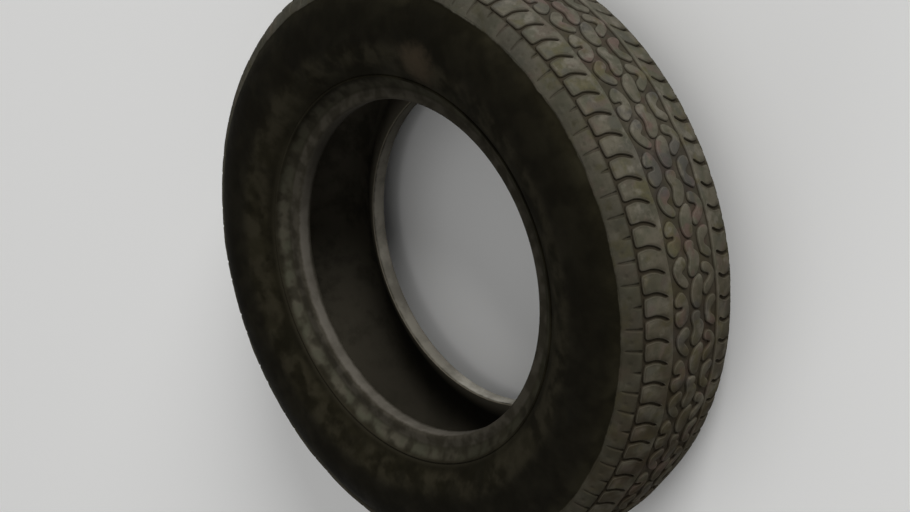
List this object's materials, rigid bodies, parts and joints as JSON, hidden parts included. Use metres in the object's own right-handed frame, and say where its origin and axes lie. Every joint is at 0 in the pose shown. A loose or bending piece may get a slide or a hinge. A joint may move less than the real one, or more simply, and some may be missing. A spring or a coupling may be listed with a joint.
{
  "type": "old worn car tyre",
  "caption": "Old worn car tyre with shallow block tread, plain sides and an open bead, lying flat on one sidewall.",
  "frame": {"origin": "middle of the flat ring on the lower sidewall that the tyre lies on", "axes": "+Z along the tyre's axle line, upwards out of the upper bead"},
  "size_m": [0.6872, 0.6872, 0.194],
  "materials": {
    "tyre": "worn, dusty matt rubber, dark brown-black sides and paler worn tread"
  },
  "bodies": {
    "root": {"tyre": "tyre"}
  },
  "joints": []
}
